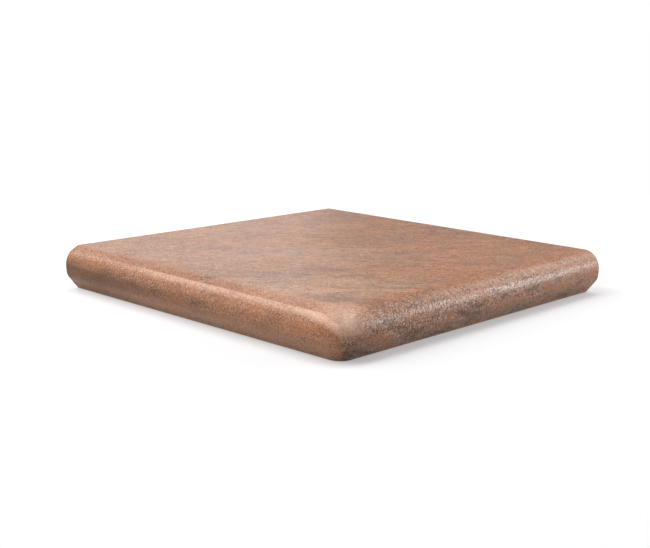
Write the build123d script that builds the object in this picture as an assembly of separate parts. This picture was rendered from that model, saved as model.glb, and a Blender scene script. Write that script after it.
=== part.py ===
"""Corner stair tread tile: one piece of fired stoneware with a rounded, undercut nose along two meeting sides.

The tile lies level on the feet of its noses. Millimetres, +Z up, origin under the middle of the tile at floor
level. The noses run along the -X and -Y sides and meet at a rounded corner. The +X and +Y sides are the plain
edges that butt against the next tiles. Behind the noses the plate stands clear of the floor, and that hollow
takes the mortar bed and the edge of the stair.
"""

import os
from math import cos, floor, radians, sin, tan

from build123d import *

# Plan
SIDE = 330.0                  # overall, both ways, over the noses
TOP_CORNER_RADIUS = 6.0       # plan radius of the corner where the shaped front begins

# Tread plate
PLATE_THICKNESS = 14.0

# Nose section, read from the front face inwards
NOSE_HEIGHT = 38.0
NOSE_DEPTH = 40.0             # front face to the back of the nose
TOP_RADIUS = 16.0             # round from the tread into the front face
FACE_LEAN = 3.0               # degrees that the front face leans back below the round
UNDERCUT_HEIGHT = 13.5        # from the foot of the nose up to the front face
UNDERCUT_ANGLE = 38.5         # degrees from the vertical
UNDERCUT_BLEND = 9.0          # round between the front face and the undercut

# Bed hollow behind the noses
BED_CORNER_RADIUS = 10.0      # plan radius where the backs of the noses meet
KNEE_RADIUS = 5.0             # round between the back of a nose and the plate

# Keyed back: dovetail grooves that hold the mortar
KEY_PITCH = 20.0
KEY_MOUTH = 9.0               # groove width at the face of the plate
KEY_ROOT = 11.0               # groove width at its floor
KEY_DEPTH = 1.8
KEY_MARGIN = 8.0              # from the knee, or from the plain edge, to the nearest groove

# How far a cut runs past an open edge
OVERRUN = 10.0

FRONT = -SIDE / 2
BACK = SIDE / 2
NOSE_BACK = FRONT + NOSE_DEPTH
PLATE_UNDERSIDE = NOSE_HEIGHT - PLATE_THICKNESS
DIAGONAL = Axis((0, 0, 0), (1, 1, 0))


def inset_of_face(height):
    """How far the leaning front face lies behind the widest line, at a height below the round."""
    lean = radians(FACE_LEAN)
    tangent_inset = TOP_RADIUS * (1 - cos(lean))
    tangent_height = NOSE_HEIGHT - TOP_RADIUS * (1 + sin(lean))
    return tangent_inset + (tangent_height - height) * tan(lean)


BROW = (inset_of_face(UNDERCUT_HEIGHT), UNDERCUT_HEIGHT)
FOOT_INSET = BROW[0] + UNDERCUT_HEIGHT * tan(radians(UNDERCUT_ANGLE))
SHAPED_DEPTH = max(TOP_RADIUS, FOOT_INSET)
CORNER_RADIUS = SHAPED_DEPTH + TOP_CORNER_RADIUS
CORE_CORNER_RADIUS = TOP_CORNER_RADIUS / 2
EDGE_DEPTH = CORNER_RADIUS - CORE_CORNER_RADIUS


def moulded_edge():
    """The rounded and undercut front of the noses, swept along both sides and round the corner."""
    top_round = CenterArc((TOP_RADIUS, NOSE_HEIGHT - TOP_RADIUS), TOP_RADIUS, 90, 90 + FACE_LEAN)
    outline = top_round + Polyline(
        top_round @ 1,
        BROW,
        (FOOT_INSET, 0),
        (EDGE_DEPTH, 0),
        (EDGE_DEPTH, NOSE_HEIGHT),
        top_round @ 0,
    )
    section = make_face(outline)
    section = fillet(section.vertices().sort_by_distance(BROW)[0], UNDERCUT_BLEND)
    start = Plane((FRONT, BACK, 0), x_dir=(1, 0, 0), z_dir=(0, -1, 0))
    path = FilletPolyline((FRONT, BACK), (FRONT, FRONT), (BACK, FRONT), radius=CORNER_RADIUS)
    return sweep(start * section, path=path)


def core_block():
    """The square block inside the moulded edge, at full height."""
    length = SIDE - EDGE_DEPTH
    plan = Rectangle(length, length)
    plan = fillet(plan.vertices().sort_by(DIAGONAL)[0], CORE_CORNER_RADIUS)
    middle = BACK - length / 2
    return extrude(Pos(middle, middle) * plan, NOSE_HEIGHT)


def bed_hollow():
    """What is taken out behind the noses, under the plate."""
    length = BACK + OVERRUN - NOSE_BACK
    middle = NOSE_BACK + length / 2
    hollow = Pos(middle, middle, PLATE_UNDERSIDE / 2) * Box(length, length, PLATE_UNDERSIDE)
    upright = hollow.edges().filter_by(Axis.Z).sort_by(DIAGONAL)[0]
    hollow = fillet(upright, BED_CORNER_RADIUS)
    ceiling = hollow.edges().group_by(Axis.Z)[-1]
    knee = ceiling.filter_by(lambda edge: min(edge.center().X, edge.center().Y) < NOSE_BACK + BED_CORNER_RADIUS)
    return fillet(knee, KNEE_RADIUS)


def key_grooves():
    """Dovetail grooves across the underside of the plate, open at the +X edge."""
    start = NOSE_BACK + KNEE_RADIUS + KEY_MARGIN
    run = BACK + OVERRUN - start
    span = BACK - KEY_MARGIN - start - KEY_ROOT
    spaces = floor(span / KEY_PITCH)
    first = start + KEY_ROOT / 2 + (span - spaces * KEY_PITCH) / 2
    section = Polyline(
        (-KEY_MOUTH / 2, 0),
        (KEY_MOUTH / 2, 0),
        (KEY_ROOT / 2, KEY_DEPTH),
        (-KEY_ROOT / 2, KEY_DEPTH),
        close=True,
    )
    groove = extrude(Plane.YZ * make_face(section), run)
    return [Pos(start, first + i * KEY_PITCH, PLATE_UNDERSIDE) * groove for i in range(spaces + 1)]


def tread_tile():
    """The whole tile as one fired piece."""
    blank = moulded_edge() + core_block()
    return blank - bed_hollow() - key_grooves()


os.makedirs("parts", exist_ok=True)
export_step(tread_tile(), "parts/tread_tile.step")
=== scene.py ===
"""Corner stair tread tile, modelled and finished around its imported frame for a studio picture.

The file is laid out as an add-on: settings first, then the modelling and finishing steps, one operator for
the tile, one for the stage, and a panel that lists them. Lengths are in metres, in the frame's own axes: the
noses run along -X and -Y, the plain edges are +X and +Y, and the tile lies on the floor at z = 0.
"""

import math
from dataclasses import dataclass

import bmesh
import bpy
from bpy.props import FloatProperty, FloatVectorProperty, IntProperty, PointerProperty
from mathutils import Matrix, Vector


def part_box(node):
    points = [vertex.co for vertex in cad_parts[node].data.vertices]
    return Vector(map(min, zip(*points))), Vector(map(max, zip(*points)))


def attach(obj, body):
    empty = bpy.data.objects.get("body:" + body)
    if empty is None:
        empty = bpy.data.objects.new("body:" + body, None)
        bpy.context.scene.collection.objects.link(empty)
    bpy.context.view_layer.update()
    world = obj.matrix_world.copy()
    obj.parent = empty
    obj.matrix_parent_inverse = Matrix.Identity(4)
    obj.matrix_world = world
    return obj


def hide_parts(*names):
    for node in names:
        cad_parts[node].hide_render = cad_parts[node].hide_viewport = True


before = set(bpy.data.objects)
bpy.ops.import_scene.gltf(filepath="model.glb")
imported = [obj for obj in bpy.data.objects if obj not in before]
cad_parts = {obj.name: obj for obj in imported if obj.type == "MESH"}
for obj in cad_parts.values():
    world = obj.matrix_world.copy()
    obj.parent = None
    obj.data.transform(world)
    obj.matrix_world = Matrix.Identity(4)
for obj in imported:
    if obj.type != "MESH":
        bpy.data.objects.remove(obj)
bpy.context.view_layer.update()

bl_info = {
    "name": "Corner stair tread tile",
    "version": (1, 0, 0),
    "blender": (4, 5, 0),
    "location": "View3D > Sidebar > Tread tile",
    "description": "Models a corner stair tread tile, glazes it and lights it on a pale floor",
    "category": "Add Mesh",
}

NODE = "tread_tile"
BODY = "root"
GLAZE_SLOT = 0
CLAY_SLOT = 1
RELIEF_GROUP = "relief"
CLOSE = 2e-5  # lengths nearer than this are the same

# The frame's origin is under the middle of the tile, so the plain edges give the outline on every side.
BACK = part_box(NODE)[1].x
FRONT = -BACK
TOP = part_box(NODE)[1].z

# Modelling: faces across the small rounds, and what counts as sharp, smooth, flush or facing an axis.
BROW_SEGMENTS = 6
BED_SEGMENTS = 8
KNEE_SEGMENTS = 6
ARRIS_SEGMENTS = 2
SHARP_ANGLE = math.radians(50)
SMOOTH_ANGLE = math.radians(35)
SAME_PLANE_ANGLE = math.radians(1)
FLUSH_ANGLE = 0.01
FACING = 0.9
PLAIN_FACING = 0.8
UPRIGHT = 0.5

# How the dressed flat dips as it runs round the corner: turn from -X towards -Y and slope, both in degrees,
# and depth of its lower edge.
CORNER_FACETS = ((8, 30, 0.0042), (20, 32, 0.0032), (32, 35, 0.0020), (44, 39, 0.0008))

# Where the tread is smoothed into the noses, and how often.
SHOULDER_DROP = 0.003
SHOULDER_REACH = 0.008
SHOULDER_PASSES = 30
CORNER_REACH = 0.010
CORNER_HEIGHT = 0.022
CORNER_GAP = 0.001
CORNER_PASSES = 25
SMOOTHING = 0.5

# The relief starts above the feet, and most of it lies below the true face.
RELIEF_START = 0.003
RELIEF_MIDDLE = 0.8
RELIEF_DETAIL = 2

# Bare clay.
CLAY_CLOUD_SIZE = 0.050
CLAY_CLOUDS = (0.35, 0.65)
GRIT_SIZE = 0.0012
CLAY_ROUGHNESS = 0.85
GRIT_AMOUNT = 0.5
PALE_GRIT_AMOUNT = 0.3
GLAZE_RUN = (TOP - 0.0005, TOP)
GLAZE_RUN_RAGGED = 0.004

# Shared patterns: detail, roughness and distortion of the noises, mottles in the width of a cloud and their
# shift, and the band that sorts the grains.
CLOUD_NOISE = (4.0, 0.55, 0.6)
MOTTLE_NOISE = (5.0, 0.62, 0.9)
MOTTLE_REPEATS = 5.0
MOTTLE_SHIFT = (0.37, 0.11, 0.23)
GRAIN_BAND = (0.35, 1.0)

# Strength and distance of the bumps.
RIPPLE_BUMP = (0.5, 0.0006)
GRAIN_BUMP = (0.9, 0.0003)
GRIT_BUMP = (0.7, 0.0004)

# Studio. A lamp's row is its name, azimuth and elevation in degrees, distance, width and height.
FLOOR_SIZE = 40.0
FLOOR_ROUGHNESS = 0.9
WHITE_REACH = (0.30, 0.90)
WHITE_NEAR_TILE = 0.3
SKY_BAND = (0.03, 0.09)
SENSOR_WIDTH = 36.0  # millimetres
LAMPS = (
    ("key", 158, 48, 2.0, 1.4, 1.4),
    ("overhead", 43, 84, 2.0, 0.9, 0.9),
    ("left", 106, 37, 1.6, 0.60, 0.30),
    ("right", -10, 31, 1.6, 0.90, 0.50),
    ("spark", -37, 11, 1.6, 0.50, 0.40),
    ("back", 63, 17, 1.8, 1.2, 0.8),
)


def length(name, description, default):
    """A length setting in metres."""
    return FloatProperty(
        name=name, description=description, default=default, min=0.0, precision=4, unit="LENGTH"
    )


def angle(name, description, degrees):
    """An angle setting, given in degrees."""
    return FloatProperty(name=name, description=description, default=math.radians(degrees), unit="ROTATION")


def share(name, description, default):
    """A setting from nothing to all."""
    return FloatProperty(
        name=name, description=description, default=default, min=0.0, max=1.0, subtype="FACTOR"
    )


def count(name, description, default):
    """A number of faces."""
    return IntProperty(name=name, description=description, default=default, min=4)


def power(name, description, default):
    """A lamp's power in watts."""
    return FloatProperty(name=name, description=description, default=default, min=0.0, unit="POWER")


def colour(name, description, default):
    """A colour setting, as linear red, green and blue."""
    return FloatVectorProperty(
        name=name, description=description, default=default, min=0.0, max=1.0, size=3, subtype="COLOR"
    )


class TreadSizes(bpy.types.PropertyGroup):
    """The tile's section and mesh. Its overall size is the frame's."""

    top_corner_radius: length("Top corner", "Plan radius of the corner where the shaped front begins", 0.006)
    plate_thickness: length("Plate", "Thickness of the tread plate behind the noses", 0.014)
    nose_depth: length("Nose depth", "From the front face to the back of the nose", 0.040)
    top_radius: length("Top round", "Round from the tread into the front face", 0.016)
    face_lean: angle("Face lean", "How far the front face leans back below the round", 3.0)
    undercut_height: length("Undercut height", "From the foot of the nose up to the front face", 0.0135)
    undercut_angle: angle("Undercut angle", "Slope of the undercut from the vertical", 38.5)
    undercut_blend: length("Undercut blend", "Round between the front face and the undercut", 0.009)
    bed_corner_radius: length("Bed corner", "Plan radius where the backs of the noses meet", 0.010)
    knee_radius: length("Knee", "Round between the back of a nose and the plate", 0.005)
    key_pitch: length("Key pitch", "Distance between the grooves of the keyed back", 0.020)
    key_mouth: length("Key mouth", "Groove width at the face of the plate", 0.009)
    key_root: length("Key root", "Groove width at its floor", 0.011)
    key_depth: length("Key depth", "Depth of the grooves", 0.0018)
    key_margin: length("Key margin", "From the knee or a plain edge to the nearest groove", 0.008)
    arris: length("Arris", "Width of the worn sharp edges", 0.0005)
    mesh_step: length("Mesh step", "Spacing of the mesh on the glazed faces", 0.0015)
    flat_slope: angle("Flat slope", "Slope of the dressed flat along the -X nose", 29.0)
    flat_depth: length("Flat depth", "From the front face back to the lower edge of the dressed flat", 0.0052)
    round_segments: count("Round segments", "Faces across the top round", 24)
    corner_segments: count("Corner segments", "Faces round the corner", 18)


class TreadRelief(bpy.types.PropertyGroup):
    """Unevenness of the pressed and fired face."""

    swell_height: length("Swell height", "Height of the broad swells in the glazed face", 0.0006)
    swell_size: length("Swell size", "Width of the broad swells", 0.060)
    ripple_height: length("Ripple height", "Height of the small ripples in the glazed face", 0.00025)
    ripple_size: length("Ripple size", "Width of the small ripples", 0.011)


class TreadColours(bpy.types.PropertyGroup):
    """Colours of the glaze and of the clay."""

    rust: colour("Rust", "Main colour of the glaze", (0.300, 0.118, 0.054))
    ember: colour("Ember", "Warmer clouds in the glaze", (0.470, 0.178, 0.066))
    slate: colour("Slate", "Grey clouds in the glaze", (0.235, 0.140, 0.104))
    umber: colour("Umber", "Dark flecks and streaks", (0.105, 0.045, 0.022))
    sand: colour("Sand", "Pale flecks", (0.620, 0.350, 0.215))
    # Bloom also colours the pale grains, and it is the colour of the painted highlights below the crease and
    # at the corner.
    bloom_and_highlight: colour("Bloom", "Pale glaze worn thin along the crease and at the corner", (0.880, 0.580, 0.440))
    clay: colour("Clay", "Bare fired body", (0.420, 0.235, 0.150))
    grit: colour("Grit", "Dark grains in the body", (0.160, 0.085, 0.055))
    roughness: share("Roughness", "Roughness of the glaze", 0.34)


class TreadStage(bpy.types.PropertyGroup):
    """Floor, light and camera."""

    floor_colour: colour("Floor", "Colour of the floor", (0.90, 0.90, 0.90))
    bounce_colour: colour("Bounce", "What the floor throws back onto the tile", (0.48, 0.48, 0.48))
    horizon_colour: colour("Horizon", "Light from near the horizon", (1.0, 1.0, 1.0))
    sky_colour: colour("Sky", "Light from overhead", (0.20, 0.20, 0.21))
    key_power: power("Key", "Power of the main softbox, at the left", 26.0)
    overhead_power: power("Overhead", "Power of the softbox overhead", 12.5)
    left_power: power("Left", "Power of the softbox at the left", 6.4)
    right_power: power("Right", "Power of the wide softbox at the right", 6.1)
    spark_power: power("Spark", "Power of the small softbox at the right", 11.5)
    back_power: power("Back", "Power of the strip behind the tile", 3.2)
    eye: FloatVectorProperty(
        name="Eye",
        description="Place of the camera",
        default=(-0.69017, -0.65487, 0.22078),
        size=3,
        subtype="TRANSLATION",
    )
    heading: angle("Heading", "Direction that the camera looks, from +X towards +Y", 43.946)
    pitch: angle("Pitch", "How far the camera looks down", 12.163)
    roll: angle("Roll", "Turn of the camera about its own line of sight", -0.721)
    lens: FloatProperty(
        name="Lens",
        description="Focal length in millimetres",
        default=61.53,
        subtype="DISTANCE_CAMERA",
    )


class TreadSettings(bpy.types.PropertyGroup):
    """Everything that a user may change."""

    sizes: PointerProperty(type=TreadSizes)
    relief: PointerProperty(type=TreadRelief)
    colours: PointerProperty(type=TreadColours)
    stage: PointerProperty(type=TreadStage)


class Section:
    """Places and lengths that the modelling steps share, worked out from the sizes and the frame."""

    def __init__(self, sizes):
        lean = sizes.face_lean
        tangent_height = TOP - sizes.top_radius * (1 + math.sin(lean))
        tangent_inset = sizes.top_radius * (1 - math.cos(lean))
        self.brow_height = sizes.undercut_height
        self.brow_inset = tangent_inset + (tangent_height - self.brow_height) * math.tan(lean)
        self.foot_inset = self.brow_inset + self.brow_height * math.tan(sizes.undercut_angle)
        self.brow_offset = sizes.undercut_blend * math.tan((sizes.undercut_angle - lean) / 2)
        self.shaped_depth = max(sizes.top_radius, self.foot_inset)
        self.corner_radius = self.shaped_depth + sizes.top_corner_radius
        self.corner_axis = FRONT + self.corner_radius
        self.top_radius = sizes.top_radius
        self.crease_height = self.round_height(sizes.flat_depth)
        self.nose_back = FRONT + sizes.nose_depth
        self.underside = TOP - sizes.plate_thickness
        self.key_start = self.nose_back + sizes.knee_radius + sizes.key_margin

    def round_height(self, depth):
        """Height of the top round at a depth behind the outline."""
        return TOP - self.top_radius + math.sqrt(self.top_radius**2 - (self.top_radius - depth) ** 2)

    def key_middles(self, sizes):
        """The Y of each key groove's middle."""
        span = BACK - sizes.key_margin - self.key_start - sizes.key_root
        spaces = math.floor(span / sizes.key_pitch)
        first = self.key_start + sizes.key_root / 2 + (span - spaces * sizes.key_pitch) / 2
        return [first + i * sizes.key_pitch for i in range(spaces + 1)]

    def depth(self, point):
        """How far a point lies behind the tile's outer outline, seen from above."""
        if point.x < self.corner_axis and point.y < self.corner_axis:
            return self.corner_radius - math.hypot(point.x - self.corner_axis, point.y - self.corner_axis)
        return min(point.x, point.y) - FRONT


# Selecting in edit mode


def near(a, b):
    """Whether two lengths are the same, within the modelling tolerance."""
    return abs(a - b) < CLOSE


def middle(edge):
    """Middle point of an edge."""
    return (edge.verts[0].co + edge.verts[1].co) / 2


def on_plain_edge(point):
    """Whether a point lies on one of the two plain edges."""
    return near(point.x, BACK) or near(point.y, BACK)


def level(item, height):
    """Whether all verts of an edge or a face lie at one height."""
    return all(near(vert.co.z, height) for vert in item.verts)


def edited_mesh():
    """The mesh in edit mode."""
    return bmesh.from_edit_mesh(bpy.context.edit_object.data)


def pick_all():
    """Selects the whole mesh."""
    bpy.ops.mesh.select_all(action="SELECT")


def pick(kind, test):
    """Selects only the verts, edges or faces that pass a test, and stops the work if none does."""
    bpy.ops.mesh.select_mode(type={"verts": "VERT", "edges": "EDGE", "faces": "FACE"}[kind])
    bpy.ops.mesh.select_all(action="DESELECT")
    found = [item for item in getattr(edited_mesh(), kind) if test(item)]
    if not found:
        raise RuntimeError("a modelling step found nothing to select")
    for item in found:
        item.select_set(True)
    bmesh.update_edit_mesh(bpy.context.edit_object.data)


# Modelling steps of the tile


def round_off(offset, segments):
    """Rounds the selected edges."""
    bpy.ops.mesh.bevel(offset=offset, segments=segments, affect="EDGES")


def start_block():
    """A cube at the tile's size and place, in edit mode."""
    bpy.ops.object.select_all(action="DESELECT")
    bpy.ops.mesh.primitive_cube_add(size=1.0, location=(0, 0, TOP / 2))
    bpy.ops.transform.resize(value=(BACK - FRONT, BACK - FRONT, TOP))
    bpy.ops.object.transform_apply(location=True, rotation=True, scale=True)
    tile = bpy.context.active_object
    tile.name = "glazed_tread"
    tile.data.name = "glazed_tread"
    bpy.ops.object.mode_set(mode="EDIT")
    return tile


def round_the_front(at, sizes):
    """Rounds the upright corner, then the top edge along both noses."""
    pick("edges", lambda e: all(near(v.co.x, FRONT) and near(v.co.y, FRONT) for v in e.verts))
    round_off(at.corner_radius, sizes.corner_segments)
    pick("edges", lambda e: level(e, TOP) and not on_plain_edge(middle(e)))
    round_off(sizes.top_radius, sizes.round_segments)


def flat_planes(at, sizes):
    """A point and the direction of each plane of the dressed flat, from the -X nose on round the corner."""
    facets = [(0.0, sizes.flat_slope, sizes.flat_depth)]
    facets += [(math.radians(turn), math.radians(slope), depth) for turn, slope, depth in CORNER_FACETS]
    planes = []
    for turn, slope, depth in facets:
        outward = Vector((-math.cos(turn), -math.sin(turn), 0))
        point = Vector((at.corner_axis, at.corner_axis, at.round_height(depth)))
        point += outward * (at.corner_radius - depth)
        planes.append((point, outward * math.sin(slope) + Vector((0, 0, math.cos(slope)))))
    return planes


def dress_the_flat(at, sizes):
    """Takes a shallow flat off the top round along the -X nose, which leaves a faint crease below it."""
    for point, normal in flat_planes(at, sizes):
        pick_all()
        bpy.ops.mesh.bisect(plane_co=point, plane_no=normal, use_fill=True, clear_outer=True)


def draw_in(at, height, inset):
    """Moves the outline of the noses at one height back by an inset, and keeps the corner round."""

    def in_corner(point):
        return max(point.x, point.y) < at.corner_axis + CLOSE

    for x, y, shift in ((FRONT, BACK, (inset, 0, 0)), (BACK, FRONT, (0, inset, 0))):
        pick("verts", lambda v: near(v.co.z, height) and near(v.co.x, x) and near(v.co.y, y))
        bpy.ops.transform.translate(value=shift)
    pick("verts", lambda v: near(v.co.z, height) and in_corner(v.co))
    kept = 1 - inset / at.corner_radius
    axis = (at.corner_axis, at.corner_axis, height)
    bpy.ops.transform.resize(value=(kept, kept, 1), center_override=axis)


def undercut_the_noses(at):
    """Leans the front face back, slopes the undercut to the foot and rounds the brow between them."""
    pick("faces", lambda f: max(f.normal.x, f.normal.y) < FACING)
    bpy.ops.mesh.bisect(plane_co=(0, 0, at.brow_height), plane_no=(0, 0, 1))
    draw_in(at, at.brow_height, at.brow_inset)
    draw_in(at, 0.0, at.foot_inset)
    pick("edges", lambda e: level(e, at.brow_height))
    round_off(at.brow_offset, BROW_SEGMENTS)


def quarter_the_plan(at):
    """Cuts the mesh along the lines where the corner's round ends and where the noses end."""
    for place in (at.corner_axis, at.nose_back):
        for axis in ((1, 0, 0), (0, 1, 0)):
            pick_all()
            bpy.ops.mesh.bisect(plane_co=(place, place, 0), plane_no=axis)


def hollow_the_bed(at):
    """Takes out the hollow behind the noses."""

    def behind(face):
        return min(face.calc_center_median()[:2]) > at.nose_back

    pick("faces", lambda f: behind(f) and abs(f.normal.z) < UPRIGHT)
    bpy.ops.mesh.bisect(plane_co=(0, 0, at.underside), plane_no=(0, 0, 1))
    pick("faces", lambda f: behind(f) and f.calc_center_median().z < at.underside)
    bpy.ops.mesh.delete(type="FACE")
    pick("edges", lambda e: e.is_boundary and level(e, 0.0))
    bpy.ops.mesh.extrude_region()
    bpy.ops.transform.translate(value=(0, 0, at.underside))
    pick_all()
    bpy.ops.mesh.remove_doubles(threshold=CLOSE)
    pick("edges", lambda e: e.is_boundary)
    bpy.ops.mesh.edge_face_add()
    pick_all()
    bpy.ops.mesh.normals_make_consistent(inside=False)
    pick("edges", lambda e: on_plain_edge(middle(e)) and e.calc_face_angle(1) < FLUSH_ANGLE)
    bpy.ops.mesh.dissolve_edges()


def round_the_bed(at, sizes):
    """Rounds the hollow's corner and the knee along its top."""

    def in_bed_corner(vert):
        below_plate = vert.co.z < at.underside + CLOSE
        return below_plate and near(vert.co.x, at.nose_back) and near(vert.co.y, at.nose_back)

    def along_knee(edge):
        by_noses = min(middle(edge)[:2]) < at.nose_back + sizes.bed_corner_radius
        return level(edge, at.underside) and by_noses and not on_plain_edge(middle(edge))

    pick("edges", lambda e: all(in_bed_corner(v) for v in e.verts))
    round_off(sizes.bed_corner_radius, BED_SEGMENTS)
    pick("edges", along_knee)
    round_off(sizes.knee_radius, KNEE_SEGMENTS)


def key_the_back(at, sizes):
    """Cuts the dovetail grooves across the underside of the plate, open at the +X edge."""

    def on_ceiling(face):
        return face.normal.z < -FACING and near(face.calc_center_median().z, at.underside)

    def behind_start(face):
        return on_ceiling(face) and face.calc_center_median().x > at.key_start

    def on_open_edge(item):
        return all(near(v.co.x, BACK) for v in item.verts)

    pick("faces", on_open_edge)
    bpy.ops.mesh.delete(type="ONLY_FACE")
    pick("faces", on_ceiling)
    bpy.ops.mesh.bisect(plane_co=(at.key_start, 0, 0), plane_no=(1, 0, 0))
    half_mouth = sizes.key_mouth / 2
    for y in at.key_middles(sizes):
        for line in (y - half_mouth, y + half_mouth):
            pick("faces", behind_start)
            bpy.ops.mesh.bisect(plane_co=(0, line, 0), plane_no=(0, 1, 0))
    widen = sizes.key_root / sizes.key_mouth
    for y in at.key_middles(sizes):
        pick("faces", lambda f: behind_start(f) and abs(f.calc_center_median().y - y) < half_mouth)
        bpy.ops.mesh.extrude_region()
        bpy.ops.transform.translate(value=(0, 0, sizes.key_depth))
        bpy.ops.transform.resize(value=(1, widen, 1), center_override=(0, y, at.underside))
    pick("faces", on_open_edge)
    bpy.ops.mesh.delete(type="FACE")
    pick("edges", lambda e: e.is_boundary and on_open_edge(e))
    bpy.ops.mesh.edge_face_add()
    pick_all()
    bpy.ops.mesh.normals_make_consistent(inside=False)


def wear_the_arrises(sizes):
    """Takes the sharpness off every crisp edge."""
    bpy.ops.mesh.select_mode(type="EDGE")
    bpy.ops.mesh.select_all(action="DESELECT")
    bpy.ops.mesh.edges_select_sharp(sharpness=SHARP_ANGLE)
    round_off(sizes.arris, ARRIS_SEGMENTS)


def glaze_the_face(tile, at, sizes):
    """Gives the tread and the fronts of the noses the glaze's slot, and all other faces the clay's."""

    def glazed(face):
        centre = face.calc_center_median()
        if max(face.normal.x, face.normal.y) > PLAIN_FACING:
            return False
        on_tread = centre.z > TOP - sizes.arris
        on_front = centre.z > sizes.arris / 2 and at.depth(centre) < at.shaped_depth
        return on_tread or on_front

    for slot, test in ((CLAY_SLOT, lambda f: True), (GLAZE_SLOT, glazed)):
        pick("faces", test)
        tile.active_material_index = slot
        bpy.ops.object.material_slot_assign()


def refine_the_glaze(sizes):
    """Divides the edges of the glazed faces, the longest first, until all are about the mesh step."""

    def parts(edge):
        if any(face.material_index == GLAZE_SLOT for face in edge.link_faces):
            return round(edge.calc_length() / sizes.mesh_step)
        return 0

    def most_parts():
        return max(parts(edge) for edge in edited_mesh().edges)

    while (most := most_parts()) > 1:
        pick("edges", lambda e: parts(e) == most)
        bpy.ops.mesh.subdivide(number_cuts=most - 1)
    pick("faces", lambda f: f.material_index == GLAZE_SLOT and len(f.verts) > 4)
    bpy.ops.mesh.quads_convert_to_tris()


def crisp_the_crease(at, sizes):
    """Keeps the lower edge of the dressed flat crisp, up to the corner's diagonal."""
    normals = [normal for _, normal in flat_planes(at, sizes)]

    def on_flat(face):
        return any(face.normal.angle(normal) < SAME_PLANE_ANGLE for normal in normals)

    def on_crease(edge):
        flat = [face for face in edge.link_faces if on_flat(face)]
        rest = [face for face in edge.link_faces if not on_flat(face)]
        before_diagonal = middle(edge).x < middle(edge).y
        return before_diagonal and flat and rest and rest[0].normal.z < flat[0].normal.z

    pick("edges", on_crease)
    bpy.ops.mesh.mark_sharp()


def all_glazed(vert):
    """Whether all faces round a vert are glazed."""
    return all(face.material_index == GLAZE_SLOT for face in vert.link_faces)


def soften_the_shoulder(at, sizes):
    """Lets the flat of the tread run softly into the round of the noses."""

    def on_shoulder(vert):
        behind_round = at.depth(vert.co) - sizes.top_radius
        high = vert.co.z > TOP - SHOULDER_DROP
        return all_glazed(vert) and high and abs(behind_round) < SHOULDER_REACH

    def past_diagonal(vert):
        in_corner = vert.co.y < at.corner_axis and vert.co.x < at.corner_axis + CORNER_REACH
        on_right = vert.co.x > vert.co.y + CORNER_GAP
        return all_glazed(vert) and in_corner and on_right and vert.co.z > CORNER_HEIGHT

    pick("verts", on_shoulder)
    bpy.ops.mesh.vertices_smooth(factor=SMOOTHING, repeat=SHOULDER_PASSES)
    pick("verts", past_diagonal)
    bpy.ops.mesh.vertices_smooth(factor=SMOOTHING, repeat=CORNER_PASSES)


def displace(tile, name, height, size):
    """Presses soft random swells of a height and size into the glazed face."""
    texture = bpy.data.textures.new(name, "CLOUDS")
    texture.noise_scale = size
    texture.noise_depth = RELIEF_DETAIL
    bpy.ops.object.modifier_add(type="DISPLACE")
    swell = tile.modifiers[-1]
    swell.texture = texture
    swell.texture_coords = "LOCAL"
    swell.vertex_group = RELIEF_GROUP
    swell.mid_level = RELIEF_MIDDLE
    swell.strength = height
    bpy.ops.object.modifier_apply(modifier=swell.name)


def press_the_relief(tile, relief):
    """Gives the glazed face its slight unevenness. The feet and the edges of the glaze stay put."""
    bpy.ops.object.vertex_group_add()
    tile.vertex_groups.active.name = RELIEF_GROUP
    pick("verts", lambda v: v.co.z > RELIEF_START and all_glazed(v))
    bpy.ops.object.vertex_group_assign()
    bpy.ops.object.mode_set(mode="OBJECT")
    displace(tile, "swells", relief.swell_height, relief.swell_size)
    displace(tile, "ripples", relief.ripple_height, relief.ripple_size)
    bpy.ops.object.shade_smooth_by_angle(angle=SMOOTH_ANGLE)


# Shader helpers


def wire(tree, socket, value):
    """Links a socket to another node's output, or sets it to a constant."""
    if isinstance(value, bpy.types.NodeSocket):
        tree.links.new(value, socket)
    else:
        socket.default_value = value


def feed(tree, node, inputs):
    """Links or sets several inputs of a node."""
    for key, value in inputs.items():
        wire(tree, node.inputs[key], value)


def add(tree, kind, inputs=None, **options):
    """Adds a node with its options and inputs."""
    node = tree.nodes.new(kind)
    for name, value in options.items():
        setattr(node, name, value)
    feed(tree, node, inputs or {})
    return node


def paint(value):
    """A colour setting as a shader colour."""
    return (value[0], value[1], value[2], 1.0)


def mixed(tree, factor, first, second):
    """A blend of two colours."""
    node = add(tree, "ShaderNodeMix", {0: factor, 6: first, 7: second}, data_type="RGBA")
    return node.outputs[2]


def ramp(tree, value, low, high, start=0.0, end=1.0):
    """A smooth rise from start to end as a value goes from low to high."""
    inputs = {"Value": value, "From Min": low, "From Max": high, "To Min": start, "To Max": end}
    return add(tree, "ShaderNodeMapRange", inputs, interpolation_type="SMOOTHSTEP").outputs[0]


def maths(tree, operation, first, second):
    """The result of one sum."""
    return add(tree, "ShaderNodeMath", {0: first, 1: second}, operation=operation).outputs[0]


def mapped(tree, vector, place=(0, 0, 0), turn=(0, 0, 0), scale=(1, 1, 1)):
    """Coordinates moved, turned and stretched."""
    inputs = {"Vector": vector, "Location": place, "Rotation": turn, "Scale": scale}
    return add(tree, "ShaderNodeMapping", inputs).outputs[0]


def noise(tree, vector, scale, detail, roughness, distortion):
    """Cloudy noise from 0 to 1."""
    inputs = {
        "Vector": vector,
        "Scale": scale,
        "Detail": detail,
        "Roughness": roughness,
        "Distortion": distortion,
    }
    return add(tree, "ShaderNodeTexNoise", inputs).outputs[0]


def bump(tree, height, amounts, **others):
    """The normal of a bumped surface, from its height and the bump's strength and distance."""
    strength, distance = amounts
    inputs = {"Height": height, "Strength": strength, "Distance": distance, **others}
    return add(tree, "ShaderNodeBump", inputs).outputs[0]


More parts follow.
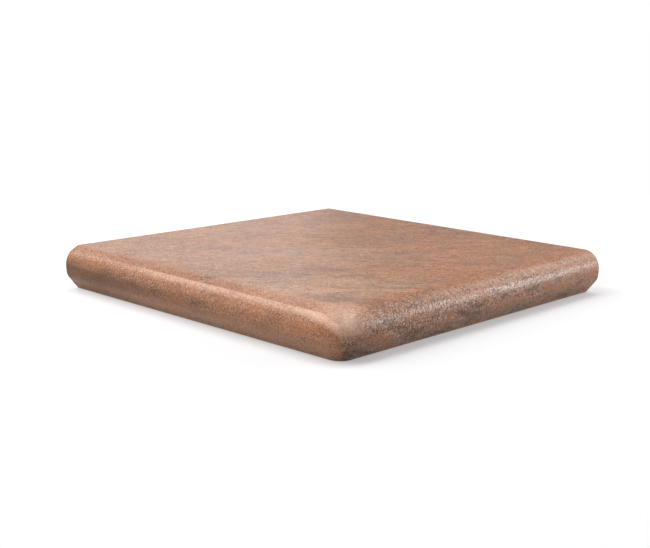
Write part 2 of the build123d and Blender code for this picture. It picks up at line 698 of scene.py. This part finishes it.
def new_group(name, outputs):
    """A node group that takes coordinates and a size. Gives it, the coordinates, 1 / size and its end."""
    group = bpy.data.node_groups.new(name, "ShaderNodeTree")
    group.interface.new_socket(name="Vector", in_out="INPUT", socket_type="NodeSocketVector")
    group.interface.new_socket(name="Size", in_out="INPUT", socket_type="NodeSocketFloat")
    for label in outputs:
        group.interface.new_socket(name=label, in_out="OUTPUT", socket_type="NodeSocketFloat")
    start = add(group, "NodeGroupInput").outputs
    frequency = maths(group, "DIVIDE", 1.0, start["Size"])
    return group, start["Vector"], frequency, add(group, "NodeGroupOutput").inputs


def cloud_group():
    """Soft clouds and a finer mottle, as firing leaves in glaze and clay."""
    group, vector, frequency, leave = new_group("fired_clouds", ["Clouds", "Mottle"])
    fine = maths(group, "MULTIPLY", MOTTLE_REPEATS, frequency)
    shifted = mapped(group, vector, place=MOTTLE_SHIFT)
    wire(group, leave["Clouds"], noise(group, vector, frequency, *CLOUD_NOISE))
    wire(group, leave["Mottle"], noise(group, shifted, fine, *MOTTLE_NOISE))
    return group


def speckle_group():
    """Dark and pale grains of one size, with the grain's height."""
    group, vector, frequency, leave = new_group("fired_speckle", ["Dark", "Pale", "Height"])
    cells = add(group, "ShaderNodeTexVoronoi", {"Vector": vector, "Scale": frequency})
    tones = add(group, "ShaderNodeSeparateColor", {0: cells.outputs["Color"]}).outputs
    wire(group, leave["Dark"], ramp(group, tones["Red"], *GRAIN_BAND))
    wire(group, leave["Pale"], ramp(group, tones["Green"], *GRAIN_BAND))
    wire(group, leave["Height"], maths(group, "SUBTRACT", 1.0, cells.outputs["Distance"]))
    return group


def placed_group(tree, group, vector, size):
    """The outputs of a shared group in a material, with its own size."""
    return add(tree, "ShaderNodeGroup", {"Vector": vector, "Size": size}, node_tree=group).outputs


def new_material(name):
    """An empty material with its shader. Gives the material, its tree, the shader and object coordinates."""
    material = bpy.data.materials.new(name)
    material.use_nodes = True
    tree = material.node_tree
    shader = tree.nodes["Principled BSDF"]
    return material, tree, shader, add(tree, "ShaderNodeTexCoord").outputs["Object"]


# Glaze: how it is described


@dataclass
class Streak:
    """Noise drawn out into strokes: repeats per metre and shift along each axis, then the noise's values."""

    repeats: tuple
    shift: tuple
    detail: float
    roughness: float
    distortion: float = 0.0
    turn: float = 0.0

    def field(self, glaze):
        turned = mapped(glaze.tree, glaze.place, turn=(0, 0, self.turn))
        drawn = mapped(glaze.tree, turned, place=self.shift, scale=self.repeats)
        return noise(glaze.tree, drawn, 1.0, self.detail, self.roughness, self.distortion)


@dataclass
class Band:
    """A smooth rise over a field, from where it starts to where it is full."""

    over: str
    start: float
    full: float
    least: float = 0.0
    most: float = 1.0

    def field(self, glaze):
        return glaze.rise(glaze.fields[self.over], self.start, self.full, self.least, self.most)


@dataclass
class Smudge:
    """A soft, ragged patch on the tread: its middle, and its half widths across and along the diagonal."""

    centre: tuple
    size: tuple

    def field(self, glaze):
        inputs = {
            "Vector": glaze.place,
            "Location": (*self.centre, TOP),
            "Rotation": (0, 0, -DIAGONAL),
            "Scale": (*self.size, 1.0),
        }
        inside = add(glaze.tree, "ShaderNodeMapping", inputs, vector_type="TEXTURE").outputs[0]
        reach = add(glaze.tree, "ShaderNodeVectorMath", {0: inside}, operation="LENGTH").outputs["Value"]
        ragged = glaze.sum("ADD", reach, glaze.fields["patch_mottle"])
        return glaze.rise(ragged, *SMUDGE_RIM, 1.0, 0.0)


@dataclass
class Spot:
    """A painted highlight: its middle, the distances where it is full and where it ends, and its rim's
    raggedness.
    """

    centre: tuple
    rim: tuple
    ragged: float

    def field(self, glaze):
        inputs = {0: glaze.place, 1: self.centre}
        reach = add(glaze.tree, "ShaderNodeVectorMath", inputs, operation="DISTANCE").outputs["Value"]
        ragged = glaze.sum("MULTIPLY", glaze.fields["wisps"], self.ragged)
        return glaze.rise(glaze.sum("ADD", reach, ragged), *self.rim, 1.0, 0.0)


DIAGONAL = math.radians(45)
SMUDGE_RIM = (0.7, 1.7)
EDGE_WANDER = 0.030  # how far the edge strip's border strays
GRAIN_STRETCH = (1, 1, 0.75)

# Size of each pattern, and a shift that keeps it apart from the others of its kind.
CLOUDS = {
    "broad": (0.085, (0, 0, 0)),
    "patch": (0.060, (0.6, 0.2, 0.4)),
    "stain": (0.030, (0.1, 0.5, 0.3)),
}
GRAINS = {
    "flecks": (0.0011, (0, 0, 0)),
    "dust": (0.0006, (0.3, 0.7, 0.1)),
}

# Streaks on the tread run across the diagonal, and hairs run down the noses.
STREAKS = {
    "wisps": Streak((32, 110, 110), (0, 0, 0), 6.0, 0.68, 1.2, DIAGONAL),
    "drifts": Streak((11, 42, 42), (3, 7, 2), 4.0, 0.55, 0.8, DIAGONAL),
    "strokes": Streak((110, 480, 300), (0, 0, 0), 3.0, 0.6, 1.0, DIAGONAL),
    "left_hairs": Streak((300, 900, 300), (0, 0, 0), 2.0, 0.6),
    "right_hairs": Streak((900, 300, 300), (0, 0, 0), 2.0, 0.6),
    "blots": Streak((38, 38, 110), (5, 2, 8), 3.0, 0.55, 0.4),
}

# The crease dips towards the corner, and the painted highlight band below it widens there.
CREASE_DIP = (-0.020, 0.003)
CREASE_LOW = 0.0262
HIGHLIGHT_BAND_TURN = (-0.040, -0.008)
HIGHLIGHT_BAND_REACH = (0.0055, 0.0090)
ABOVE_CREASE = Band("under", 0.0005, -0.0005)

# Masks by name, each the product of its factors. Heights are above the floor.
SIDES = {
    "front": [Band("z", TOP - 0.003, TOP - 0.013)],
    "right": [Band("aside", -0.006, 0.006)],
    "left": [Band("aside", 0.006, -0.006)],
    "left_face": ["front", "left"],
    "right_face": ["front", "right"],
}
PLACES = {
    "edge": [Band("inset", FRONT + 0.046, FRONT + 0.024)],
    "patchy": [Band("stain", 0.56, 0.42, 0.15, 1.0)],
    "strip": [Band("x", FRONT + 0.024, FRONT + 0.014)],
    "strip_far": ["strip", Band("y", -0.02, 0.08)],
    "below": [Band("under", -0.0006, 0.0)],
    # The masks from here to the two spots mark painted highlights: a bright band just below the crease that
    # fades downward, and pale patches where the crease ends and on the corner's dome.
    "upper_left": ["below", Band("under", 0.011, 0.002), "left"],
    "painted_highlight_band": ["below", Band("worn_share", 1.0, 0.2), Band("aside", 0.006, -0.002)],
    "along": [Band("y", FRONT + 0.015, FRONT + 0.060, 0.95, 0.58), Band("y", 0.02, 0.12, 1.0, 0.6)],
    "worn": ["painted_highlight_band", "along"],
    "painted_crease_end_highlight": [Spot((FRONT + 0.0122, FRONT + 0.0040, 0.0285), (0.006, 0.017), 0.008)],
    "painted_dome_highlight": [Spot((FRONT + 0.0130, FRONT + 0.0115, 0.0355), (0.002, 0.034), 0.010), "above"],
    "low": [Band("z", 0.017, 0.011)],
    "left_end": ["left_face", Band("y", 0.04, 0.14)],
    "foot": ["left", Band("z", 0.016, 0.008), Band("y", 0.13, 0.04)],
    "belly": ["left", Band("z", 0.026, 0.020), Band("z", 0.008, 0.013), Band("y", -0.10, 0.13, 0.14, 0.58)],
    "right_low": ["right_face", Band("z", 0.023, 0.017)],
    "right_shade": ["right_low", Band("x", FRONT + 0.020, FRONT + 0.060, 0.88, 0.62)],
}

# Coats of the glaze, in the order in which they are laid: colour, strength and the factors of the mask. Three
# strengths are those on the tread, down the -X nose and down the -Y nose.
COATS = (
    # Clouds, edges and far parts of the tread
    ("ember", 1.0, Band("broad", 0.38, 0.64)),
    ("slate", 0.7, Band("patch", 0.46, 0.68)),
    ("ember", 0.6, "edge", "patchy"),
    # Painted shade, partly real tone: the tread darker and browner towards the -Y side.
    ("umber", (0.25, 0, 0), Band("aside", 0.0, 0.25)),
    ("slate", (0.18, 0, 0), Band("back", 0.05, 0.20)),
    ("slate", (0.20, 0, 0), Band("aside", 0.02, -0.12)),
    # Stains down the noses and smudges on the tread
    ("umber", (0, 0.55, 0.70), Band("stain", 0.48, 0.62)),
    ("ember", (0, 0.55, 0.92), Band("stain_mottle", 0.48, 0.64)),
    ("ember", 0.55, Smudge((-0.010, -0.110), (0.085, 0.040))),
    ("sand", 0.85, Smudge((-0.105, -0.105), (0.110, 0.040))),
    ("umber", 0.50, Smudge((-0.122, -0.066), (0.052, 0.020))),
    ("umber", 0.40, Smudge((-0.130, -0.136), (0.030, 0.008))),
    ("bloom_and_highlight", 0.20, Smudge((-0.108, -0.072), (0.110, 0.040))),
    ("slate", 0.30, Smudge((-0.020, -0.015), (0.120, 0.055))),
    ("bloom_and_highlight", 0.20, Smudge((-0.020, -0.015), (0.120, 0.055))),
    # The -X nose near the corner, the brow of the -Y nose, and painted highlights below the crease and at the
    # corner
    ("ember", 0.90, "left_face", Band("y", FRONT + 0.16, FRONT + 0.03)),
    ("ember", 0.75, "right", Band("z", TOP - 0.016, TOP - 0.008), "edge"),
    ("bloom_and_highlight", 1.0, "worn"),
    ("sand", 0.90, "painted_dome_highlight"),
    ("bloom_and_highlight", 0.8, "painted_crease_end_highlight"),
    # Streaks
    ("umber", (0.40, 0, 0), Band("drifts", 0.49, 0.60)),
    ("ember", (0.55, 0, 0), Band("drifts", 0.47, 0.38)),
    ("umber", (0.55, 0.15, 0.15), Band("wisps", 0.49, 0.62)),
    ("ember", (0.55, 0.10, 0.10), Band("wisps", 0.46, 0.34)),
    ("sand", 0.22, Band("patch_mottle", 0.50, 0.70)),
    ("umber", (0.60, 0.10, 0.10), Band("strokes", 0.50, 0.64)),
    ("sand", (0.50, 0.10, 0.10), Band("strokes", 0.46, 0.34)),
    # The strip above the crease, and a painted highlight just below it
    ("ember", 0.45, "strip", "patchy"),
    ("sand", 0.50, "strip", Band("y", FRONT + 0.150, FRONT + 0.060)),
    ("umber", 0.20, "strip_far"),
    ("ember", 0.34, "strip_far"),
    ("ember", 0.45, "upper_left"),
    ("sand", 0.30, "upper_left"),
    # Hairs and low parts of the noses, with painted shade low on the -Y nose
    ("umber", (0, 0.08, 0.72), Band("hairs", 0.50, 0.66)),
    ("sand", (0, 0.08, 0.32), Band("hairs", 0.46, 0.30)),
    ("ember", 0.30, "low"),
    ("sand", 0.24, "low"),
    ("umber", 1.0, "right_shade"),
    # Grain
    ("umber", (0.22, 0.22, 0.84), "dark_flecks"),
    ("bloom_and_highlight", (0.16, 0.14, 0.54), "pale_flecks"),
    ("umber", (0.64, 0.88, 1.00), "dark_dust"),
    ("bloom_and_highlight", (0.42, 0.54, 0.62), "pale_dust"),
    # Ends, blots, belly and feet of the noses, and painted shade low on the -Y nose by the corner
    ("ember", 0.26, "left_face", Band("y", 0.12, -0.08)),
    ("umber", 0.34, "left_end"),
    ("ember", 0.25, "left_end"),
    ("ember", 0.30, "right_face", Band("x", 0.05, 0.15)),
    ("umber", (0, 0.22, 0.64), Band("blots", 0.50, 0.64)),
    ("ember", (0, 0.42, 0.56), Band("blots", 0.49, 0.37)),
    # Painted shade low on the -Y nose, beside the corner.
    ("umber", 0.40, "right", Band("z", 0.027, 0.021), Band("x", FRONT + 0.050, FRONT + 0.014)),
    ("umber", 1.0, "belly"),
    ("ember", 0.44, "foot"),
    ("sand", 0.52, "foot"),
    ("umber", 0.45, "low", "dark_flecks"),
    ("sand", 0.30, "low", "pale_flecks"),
    # The painted highlights once more, with grain over them
    ("sand", 0.40, "painted_dome_highlight"),
    ("bloom_and_highlight", 0.42, "painted_dome_highlight"),
    ("bloom_and_highlight", 0.56, "painted_crease_end_highlight"),
    ("bloom_and_highlight", 0.70, "painted_highlight_band", Band("along", 0.34, 0.95)),
    ("rust", 0.36, "paled", "dark_dust"),
    ("bloom_and_highlight", 0.50, "paled", "pale_dust"),
)

# Satin and gloss, and the grain's height on the tread, the -X nose and the -Y nose.
SATIN = Band("patch_mottle", 0.3, 0.7, -0.06, 0.08)
RUBBED = 0.04
LEFT_GLOSS = (0, 0.35, 0.35)
RIGHT_GLOSS = Band("z", TOP - 0.0008, TOP - 0.0070)
GLOSS = [
    "glossy",
    Band("z", 0.016, 0.027),
    Band("x", 0.06, 0.16, 1.0, 0.55),
    Band("pale_dust", 0.0, 0.8, 0.15, 1.0),
]
GLOSS_ROUGHNESS = 0.40
GLAZE_SPECULAR = 0.14
GRAIN_HEIGHTS = (0.25, 0.5, 0.8)


# Glaze: how it is painted


class Glaze:
    """The glaze while it is painted: its colour so far, and named fields with one value at every point."""

    def __init__(self, tree, place, colours):
        self.tree = tree
        self.place = place
        self.colours = colours
        self.fields = {}
        self.shade = paint(colours.rust)

    def sum(self, operation, first, second):
        """The result of one sum."""
        return maths(self.tree, operation, first, second)

    def rise(self, value, low, high, start=0.0, end=1.0):
        """A smooth rise from start to end as a value goes from low to high."""
        return ramp(self.tree, value, low, high, start, end)

    def mask(self, factors):
        """All the factors multiplied. A factor is the name of a field or something that makes one."""
        fields = [self.fields[item] if isinstance(item, str) else item.field(self) for item in factors]
        result = fields[0]
        for field in fields[1:]:
            result = self.sum("MULTIPLY", result, field)
        return result

    def strength(self, amount):
        """A strength, or a blend of three: on the tread, down the -X nose and down the -Y nose."""
        if not isinstance(amount, tuple):
            return amount
        tread, left, right = amount
        on_noses = self.rise(self.fields["right"], 0.0, 1.0, left, right)
        return self.rise(self.fields["front"], 0.0, 1.0, tread, on_noses)

    def mark(self, places):
        """Adds the masks of named places to the fields."""
        for name, factors in places.items():
            self.fields[name] = self.mask(factors)

    def lay(self, colour, strength, *factors):
        """Lays one coat over what is there."""
        cover = self.sum("MULTIPLY", self.mask(factors), self.strength(strength))
        self.shade = mixed(self.tree, cover, self.shade, paint(getattr(self.colours, colour)))


def draw_patterns(glaze, clouds, speckle):
    """Clouds, grains and streaks."""
    tree = glaze.tree
    fields = glaze.fields
    for name, (size, shift) in CLOUDS.items():
        shifted = mapped(tree, glaze.place, place=shift)
        cloud = placed_group(tree, clouds, shifted, size)
        fields[name] = cloud["Clouds"]
        fields[name + "_mottle"] = cloud["Mottle"]
    drawn = mapped(tree, glaze.place, scale=GRAIN_STRETCH)
    for name, (size, shift) in GRAINS.items():
        shifted = mapped(tree, drawn, place=shift)
        grains = placed_group(tree, speckle, shifted, size)
        fields["dark_" + name] = grains["Dark"]
        fields["pale_" + name] = grains["Pale"]
        fields[name + "_height"] = grains["Height"]
    for name, streak in STREAKS.items():
        fields[name] = streak.field(glaze)


def measure_the_tile(glaze, at):
    """Where a point lies: its coordinates, its distance from the edges and its drop below the crease."""
    fields = glaze.fields
    axes = add(glaze.tree, "ShaderNodeSeparateXYZ", {0: glaze.place}).outputs
    for name in ("x", "y", "z"):
        fields[name] = axes[name.upper()]
    # Aside grows from the -X nose towards the -Y nose, and back grows away from the corner.
    fields["aside"] = glaze.sum("SUBTRACT", fields["x"], fields["y"])
    fields["back"] = glaze.sum("ADD", fields["x"], fields["y"])
    wander = glaze.sum("MULTIPLY", fields["broad_mottle"], EDGE_WANDER)
    fields["inset"] = glaze.sum("ADD", glaze.sum("MINIMUM", fields["x"], fields["y"]), wander)
    # The crease's height, and how far the painted highlight reaches below it.
    crease = glaze.rise(fields["aside"], *CREASE_DIP, at.crease_height, CREASE_LOW)
    reach = glaze.rise(fields["aside"], *HIGHLIGHT_BAND_TURN, *HIGHLIGHT_BAND_REACH)
    fields["under"] = glaze.sum("SUBTRACT", crease, fields["z"])
    fields["worn_share"] = glaze.sum("DIVIDE", fields["under"], reach)


def mark_the_places(glaze):
    """Masks of the sides and places of the tile."""
    fields = glaze.fields
    glaze.mark(SIDES)
    fields["hairs"] = glaze.rise(fields["right"], 0.0, 1.0, fields["left_hairs"], fields["right_hairs"])
    fields["above"] = glaze.sum("MAXIMUM", ABOVE_CREASE.field(glaze), fields["right"])
    glaze.mark(PLACES)
    corner_highlights = glaze.sum("MAXIMUM", fields["painted_dome_highlight"], fields["painted_crease_end_highlight"])
    fields["paled"] = glaze.sum("MAXIMUM", fields["worn"], corner_highlights)


def polish(glaze, shader):
    """Satin all over, with a gloss rubbed onto the shoulders of the noses."""
    fields = glaze.fields
    satin = glaze.sum("ADD", glaze.colours.roughness, SATIN.field(glaze))
    rubbed = glaze.sum("MULTIPLY", glaze.fields["right_face"], RUBBED)
    left = glaze.strength(LEFT_GLOSS)
    fields["glossy"] = glaze.rise(fields["right"], 0.0, 1.0, left, RIGHT_GLOSS.field(glaze))
    inputs = {
        "Roughness": glaze.sum("SUBTRACT", satin, rubbed),
        "Coat Weight": glaze.mask(GLOSS),
        "Coat Roughness": GLOSS_ROUGHNESS,
        "Specular IOR Level": GLAZE_SPECULAR,
    }
    feed(glaze.tree, shader, inputs)


def roughen(glaze, shader):
    """Fine ripples along the streaks, and grain over them."""
    grain = glaze.sum("ADD", glaze.fields["flecks_height"], glaze.fields["dust_height"])
    grain = glaze.sum("MULTIPLY", grain, glaze.strength(GRAIN_HEIGHTS))
    ripples = bump(glaze.tree, glaze.fields["wisps"], RIPPLE_BUMP)
    wire(glaze.tree, shader.inputs["Normal"], bump(glaze.tree, grain, GRAIN_BUMP, Normal=ripples))


def glaze_material(at, colours, clouds, speckle):
    """Clouded rust glaze with a satin surface, more strongly speckled down the fronts of the noses."""
    material, tree, shader, place = new_material("clouded_glaze")
    glaze = Glaze(tree, place, colours)
    draw_patterns(glaze, clouds, speckle)
    measure_the_tile(glaze, at)
    mark_the_places(glaze)
    for coat in COATS:
        glaze.lay(*coat)
    wire(tree, shader.inputs["Base Color"], glaze.shade)
    polish(glaze, shader)
    roughen(glaze, shader)
    return material


# Clay and floor


def clay_material(colours, clouds, speckle):
    """Bare fired clay, with glaze run over its upper edge."""
    material, tree, shader, place = new_material("bare_clay")
    broad = placed_group(tree, clouds, place, CLAY_CLOUD_SIZE)
    grit = placed_group(tree, speckle, place, GRIT_SIZE)
    height = add(tree, "ShaderNodeSeparateXYZ", {0: place}).outputs["Z"]
    ragged = maths(tree, "MULTIPLY", broad["Mottle"], GLAZE_RUN_RAGGED)
    coats = (
        (ramp(tree, broad["Clouds"], *CLAY_CLOUDS), colours.rust),
        (maths(tree, "MULTIPLY", grit["Dark"], GRIT_AMOUNT), colours.grit),
        (maths(tree, "MULTIPLY", grit["Pale"], PALE_GRIT_AMOUNT), colours.sand),
        (ramp(tree, maths(tree, "ADD", height, ragged), *GLAZE_RUN), colours.rust),
    )
    shade = paint(colours.clay)
    for cover, tone in coats:
        shade = mixed(tree, cover, shade, paint(tone))
    normal = bump(tree, grit["Height"], GRIT_BUMP)
    feed(tree, shader, {"Base Color": shade, "Roughness": CLAY_ROUGHNESS, "Normal": normal})
    return material


def floor_material(stage):
    """Pale floor round the tile, which runs out into plain white for the eye and for reflections."""
    material, tree, shader, place = new_material("pale_floor")
    reach = add(tree, "ShaderNodeVectorMath", {0: place}, operation="LENGTH").outputs["Value"]
    rays = add(tree, "ShaderNodeLightPath").outputs
    seen = maths(tree, "MAXIMUM", rays["Is Camera Ray"], rays["Is Glossy Ray"])
    seen = maths(tree, "MAXIMUM", seen, rays["Is Transmission Ray"])
    tone = mixed(tree, seen, paint(stage.bounce_colour), paint(stage.floor_colour))
    feed(tree, shader, {"Base Color": tone, "Roughness": FLOOR_ROUGHNESS, "Specular IOR Level": 0.0})
    share_of_white = maths(tree, "MULTIPLY", seen, ramp(tree, reach, *WHITE_REACH, WHITE_NEAR_TILE, 1.0))
    white = add(tree, "ShaderNodeEmission", {"Color": (1, 1, 1, 1), "Strength": 1.0})
    blend = add(tree, "ShaderNodeMixShader", {0: share_of_white, 1: shader.outputs[0], 2: white.outputs[0]})
    wire(tree, tree.nodes["Material Output"].inputs["Surface"], blend.outputs[0])
    return material


# Stage


def lay_the_floor(stage):
    """A wide floor that the tile lies on."""
    bpy.ops.object.select_all(action="DESELECT")
    bpy.ops.mesh.primitive_plane_add(size=FLOOR_SIZE, location=(0, 0, 0))
    floor = bpy.context.active_object
    floor.name = "pale_floor"
    floor.data.materials.append(floor_material(stage))


def direction(side, lift):
    """The direction at an angle from +X towards +Y, lifted by another."""
    return Vector((math.cos(side) * math.cos(lift), math.sin(side) * math.cos(lift), math.sin(lift)))


def hang_the_lamp(stage, name, azimuth, elevation, distance, width, height):
    """A rectangular lamp that faces the tile."""
    place = direction(math.radians(azimuth), math.radians(elevation)) * distance
    bpy.ops.object.light_add(type="AREA", location=place)
    softbox = bpy.context.active_object
    softbox.name = name + "_softbox"
    softbox.rotation_euler = (-place).to_track_quat("-Z", "Y").to_euler()
    softbox.data.shape = "RECTANGLE"
    softbox.data.size = width
    softbox.data.size_y = height
    softbox.data.energy = getattr(stage, name + "_power")
    softbox.visible_camera = False


def light_the_sky(stage):
    """A pale sky, brightest near the horizon."""
    world = bpy.data.worlds.new("studio_sky")
    bpy.context.scene.world = world
    world.use_nodes = True
    tree = world.node_tree
    towards = add(tree, "ShaderNodeTexCoord").outputs["Generated"]
    lift = add(tree, "ShaderNodeSeparateXYZ", {0: towards}).outputs["Z"]
    shade = mixed(tree, ramp(tree, lift, *SKY_BAND), paint(stage.horizon_colour), paint(stage.sky_colour))
    wire(tree, tree.nodes["Background"].inputs["Color"], shade)


def set_the_camera(stage):
    """A camera at the eye, turned by the heading, pitch and roll."""
    forward = direction(stage.heading, -stage.pitch)
    right = Vector((math.sin(stage.heading), -math.cos(stage.heading), 0))
    down = forward.cross(right)
    across = right * math.cos(stage.roll) + down * math.sin(stage.roll)
    up = right * math.sin(stage.roll) - down * math.cos(stage.roll)
    bpy.ops.object.camera_add(location=stage.eye)
    camera = bpy.context.active_object
    camera.rotation_euler = Matrix((across, up, -forward)).transposed().to_euler()
    camera.data.sensor_width = SENSOR_WIDTH
    camera.data.lens = stage.lens
    bpy.context.scene.camera = camera


# Operators, panel and registration


class TREAD_OT_model_tile(bpy.types.Operator):
    """Models the tread tile around the frame, glazes it and lets it ride on the frame."""

    bl_idname = "tread.model_tile"
    bl_label = "Model the tread tile"

    def execute(self, context):
        settings = context.scene.tread
        sizes = settings.sizes
        at = Section(sizes)
        tile = start_block()
        clouds = cloud_group()
        speckle = speckle_group()
        tile.data.materials.append(glaze_material(at, settings.colours, clouds, speckle))
        tile.data.materials.append(clay_material(settings.colours, clouds, speckle))
        round_the_front(at, sizes)
        dress_the_flat(at, sizes)
        undercut_the_noses(at)
        quarter_the_plan(at)
        hollow_the_bed(at)
        round_the_bed(at, sizes)
        key_the_back(at, sizes)
        wear_the_arrises(sizes)
        glaze_the_face(tile, at, sizes)
        refine_the_glaze(sizes)
        crisp_the_crease(at, sizes)
        soften_the_shoulder(at, sizes)
        press_the_relief(tile, settings.relief)
        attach(tile, BODY)
        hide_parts(NODE)
        return {"FINISHED"}


class TREAD_OT_set_stage(bpy.types.Operator):
    """Lays the floor, hangs the lamps and sets the camera."""

    bl_idname = "tread.set_stage"
    bl_label = "Set the stage"

    def execute(self, context):
        stage = context.scene.tread.stage
        lay_the_floor(stage)
        for lamp in LAMPS:
            hang_the_lamp(stage, *lamp)
        light_the_sky(stage)
        set_the_camera(stage)
        context.scene.view_settings.view_transform = "Standard"
        return {"FINISHED"}


class TREAD_PT_panel(bpy.types.Panel):
    """Lists the settings and the steps."""

    bl_idname = "TREAD_PT_panel"
    bl_label = "Tread tile"
    bl_space_type = "VIEW_3D"
    bl_region_type = "UI"
    bl_category = "Tread tile"

    def draw(self, context):
        settings = context.scene.tread
        for group in (settings.sizes, settings.relief, settings.colours, settings.stage):
            box = self.layout.box()
            for name in group.__annotations__:
                box.prop(group, name)
        self.layout.operator(TREAD_OT_model_tile.bl_idname)
        self.layout.operator(TREAD_OT_set_stage.bl_idname)


CLASSES = (
    TreadSizes,
    TreadRelief,
    TreadColours,
    TreadStage,
    TreadSettings,
    TREAD_OT_model_tile,
    TREAD_OT_set_stage,
    TREAD_PT_panel,
)


def register():
    """Adds the classes and the settings to the program."""
    for item in CLASSES:
        bpy.utils.register_class(item)
    bpy.types.Scene.tread = PointerProperty(type=TreadSettings)


def unregister():
    """Takes the settings and the classes out again."""
    del bpy.types.Scene.tread
    for item in reversed(CLASSES):
        bpy.utils.unregister_class(item)


def main():
    """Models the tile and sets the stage."""
    register()
    bpy.ops.tread.model_tile()
    bpy.ops.tread.set_stage()


if __name__ == "__main__":
    main()
